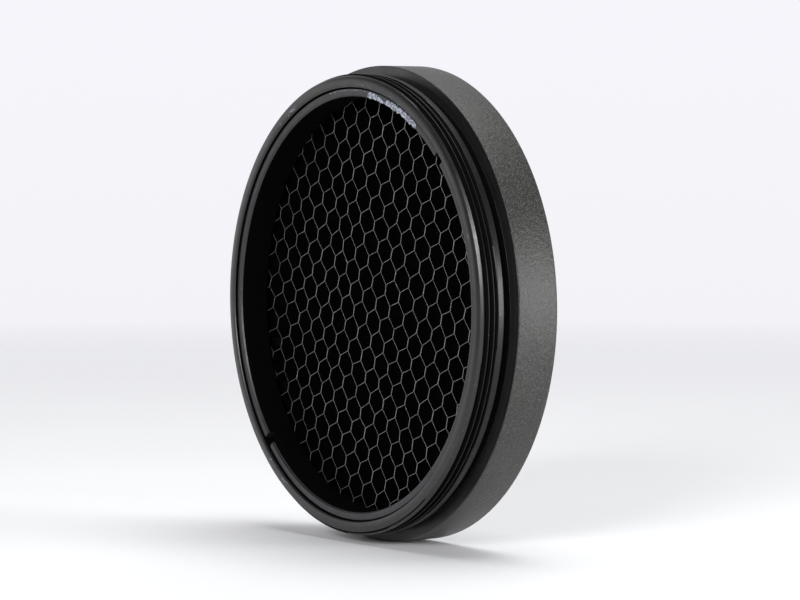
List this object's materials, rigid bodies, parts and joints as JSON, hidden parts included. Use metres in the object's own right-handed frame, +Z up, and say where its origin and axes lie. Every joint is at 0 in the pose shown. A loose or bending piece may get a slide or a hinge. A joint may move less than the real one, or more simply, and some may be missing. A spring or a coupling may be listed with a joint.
{
  "type": "honeycomb grid",
  "caption": "Round threaded honeycomb grid: male-thread housing ring, slotted retaining ring and expanded foil core.",
  "frame": {"origin": "on the rings' common axis, in the plane of the shoulder that stops the male thread", "axes": "+Y along the axis from the threaded front to the plain rear; +Z up, with the part standing on its rim"},
  "size_m": [0.057, 0.01, 0.057],
  "materials": {
    "housing_black": "bead-blasted black anodise",
    "ring_black": "turned satin black anodise",
    "foil_black": "matt black coated foil with bare cut edges"
  },
  "bodies": {
    "housing": {"housing": "housing_black"},
    "core": {"foil_ribbon_01": "foil_black", "foil_ribbon_02": "foil_black", "foil_ribbon_03": "foil_black", "foil_ribbon_04": "foil_black", "foil_ribbon_05": "foil_black", "foil_ribbon_06": "foil_black", "foil_ribbon_07": "foil_black", "foil_ribbon_08": "foil_black", "foil_ribbon_09": "foil_black", "foil_ribbon_10": "foil_black", "foil_ribbon_11": "foil_black", "foil_ribbon_12": "foil_black", "foil_ribbon_13": "foil_black", "foil_ribbon_14": "foil_black", "foil_ribbon_15": "foil_black", "foil_ribbon_16": "foil_black", "foil_ribbon_17": "foil_black", "foil_ribbon_18": "foil_black", "foil_ribbon_19": "foil_black", "foil_ribbon_20": "foil_black", "foil_ribbon_21": "foil_black", "foil_ribbon_22": "foil_black", "foil_ribbon_23": "foil_black", "foil_ribbon_24": "foil_black", "foil_ribbon_25": "foil_black", "foil_ribbon_26": "foil_black", "foil_ribbon_27": "foil_black", "foil_ribbon_28": "foil_black", "foil_ribbon_29": "foil_black", "foil_ribbon_30": "foil_black", "foil_ribbon_31": "foil_black", "foil_ribbon_32": "foil_black", "foil_ribbon_33": "foil_black"},
    "ring": {"retaining_ring": "ring_black"}
  },
  "joints": [
    {"name": "core_advance", "type": "slide", "parent": "housing", "child": "core", "axis": [0, -1, 0], "range_m": [0, 0.00226]},
    {"name": "ring_unscrew", "type": "hinge", "parent": "core", "child": "ring", "pos_m": [0, 0, 0], "axis": [0, -1, 0], "range_deg": [0, 1080]}
  ],
  "couplings": [
    {"joint": "core_advance", "follows": "ring_unscrew", "m_per_rad": 0.00011937}
  ]
}
